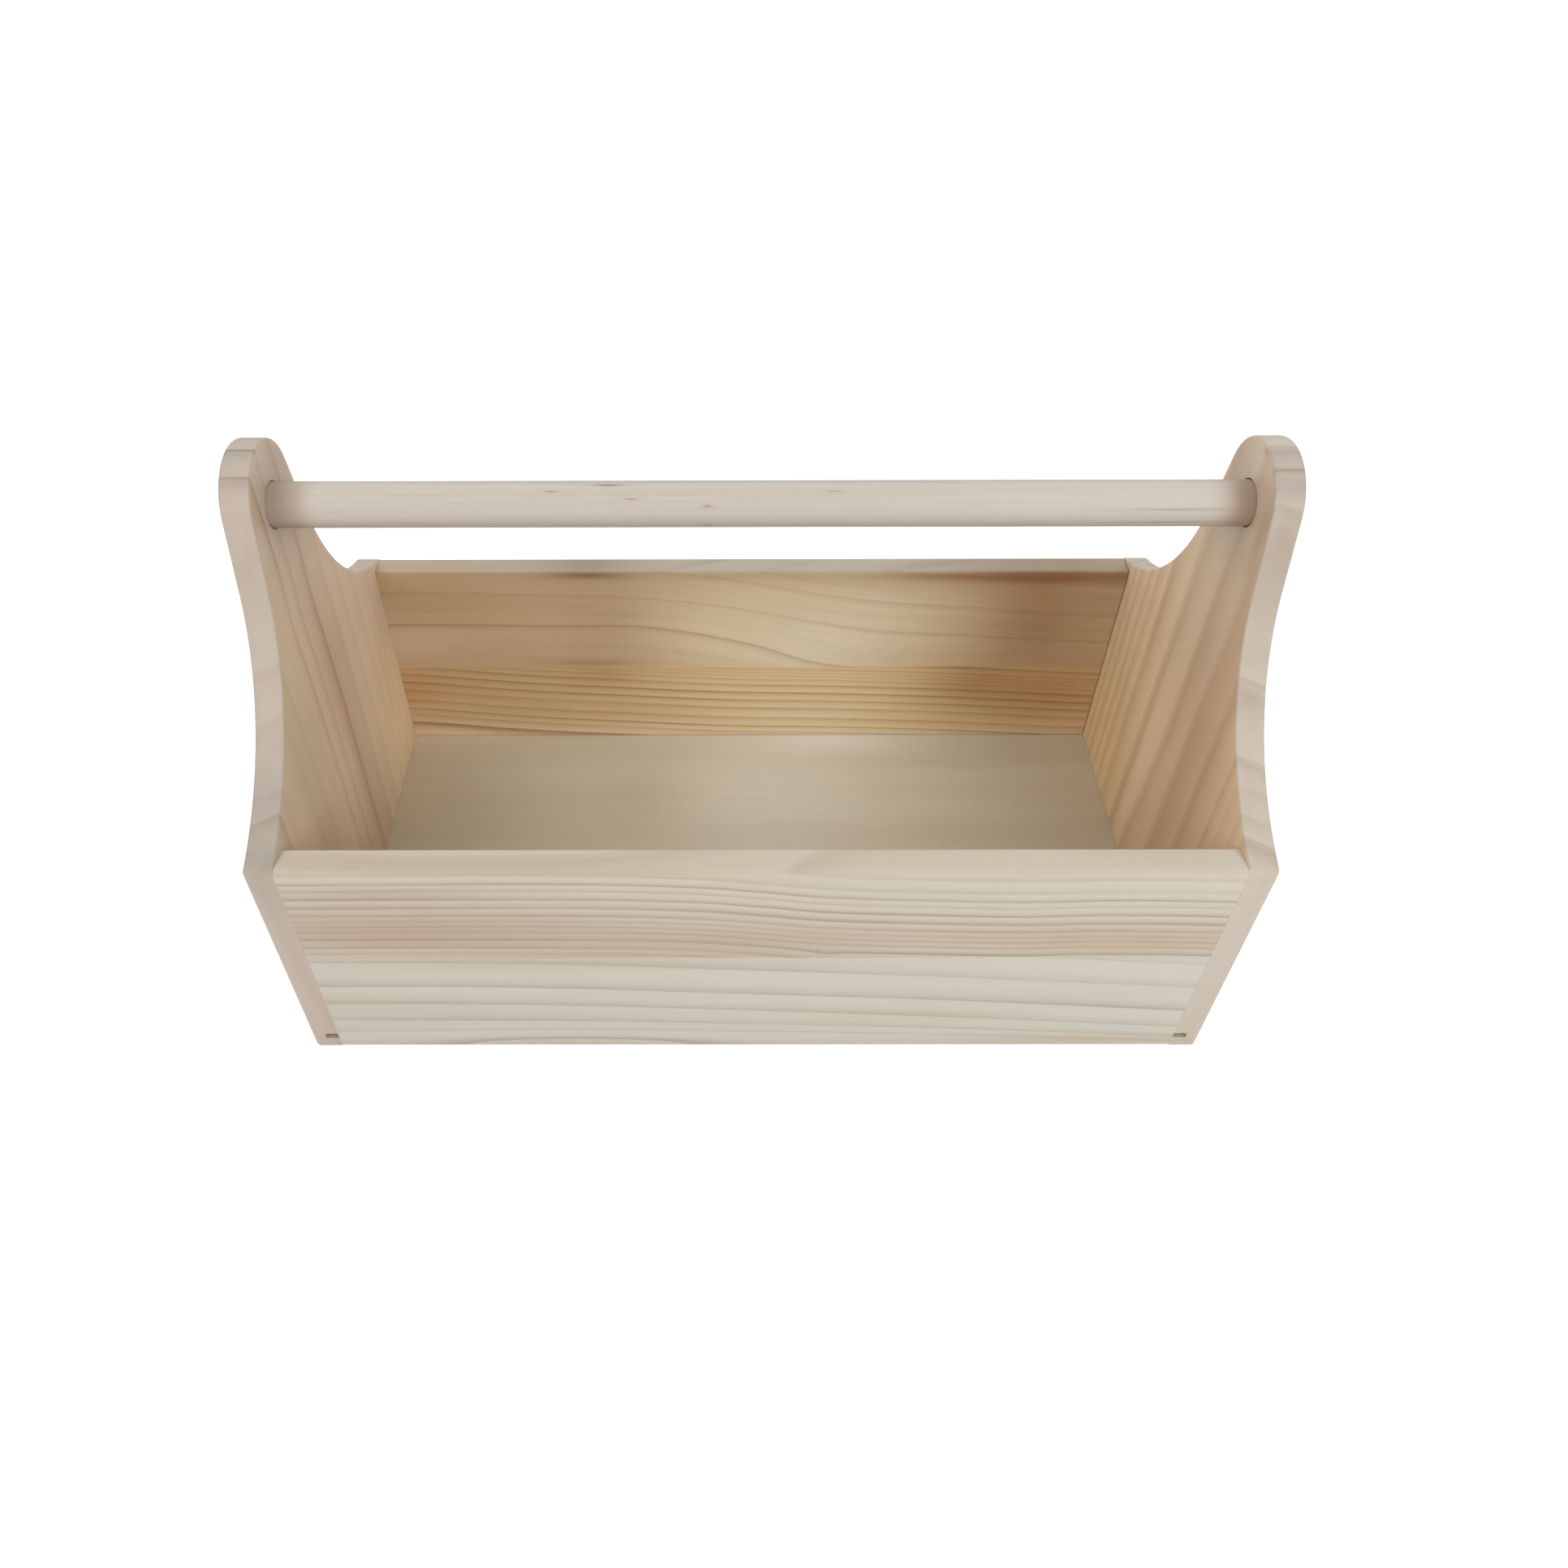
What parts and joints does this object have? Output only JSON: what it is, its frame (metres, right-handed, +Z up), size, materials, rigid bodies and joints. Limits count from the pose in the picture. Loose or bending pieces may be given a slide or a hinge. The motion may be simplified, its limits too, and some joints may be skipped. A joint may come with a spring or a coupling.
{
  "type": "wooden carrying caddy",
  "caption": "Open carrying caddy of pine boards: a long tray between shaped end panels with round heads, and a round dowel handle from head to head.",
  "frame": {"origin": "under the middle of the caddy, on the surface that it stands on", "axes": "+X along the handle, -Y the front, +Z up"},
  "size_m": [0.4, 0.2, 0.253],
  "materials": {
    "end_panel_pine": "bare pine, sanded, grain upright",
    "front_upper_pine": "bare pine, sanded, close grain along the board",
    "front_lower_pine": "bare pine, sanded, wide pale grain along the board",
    "back_upper_pine": "bare pine, sanded, long flowing grain",
    "back_lower_pine": "bare pine, sanded, close straight grain",
    "floor_sheet": "thin plain sheet, nearly without grain",
    "handle_wood": "bare turned dowel, fine faint grain",
    "pin_wood": "bare turned pin"
  },
  "bodies": {
    "root": {"end_panel_left": "end_panel_pine", "end_panel_right": "end_panel_pine", "front_upper_stave": "front_upper_pine", "front_lower_stave": "front_lower_pine", "back_upper_stave": "back_upper_pine", "back_lower_stave": "back_lower_pine", "floor_panel": "floor_sheet", "handle_dowel": "handle_wood", "front_upper_left_pin": "pin_wood", "front_upper_right_pin": "pin_wood", "front_lower_left_pin": "pin_wood", "front_lower_right_pin": "pin_wood", "back_upper_left_pin": "pin_wood", "back_upper_right_pin": "pin_wood", "back_lower_left_pin": "pin_wood", "back_lower_right_pin": "pin_wood"}
  },
  "joints": []
}
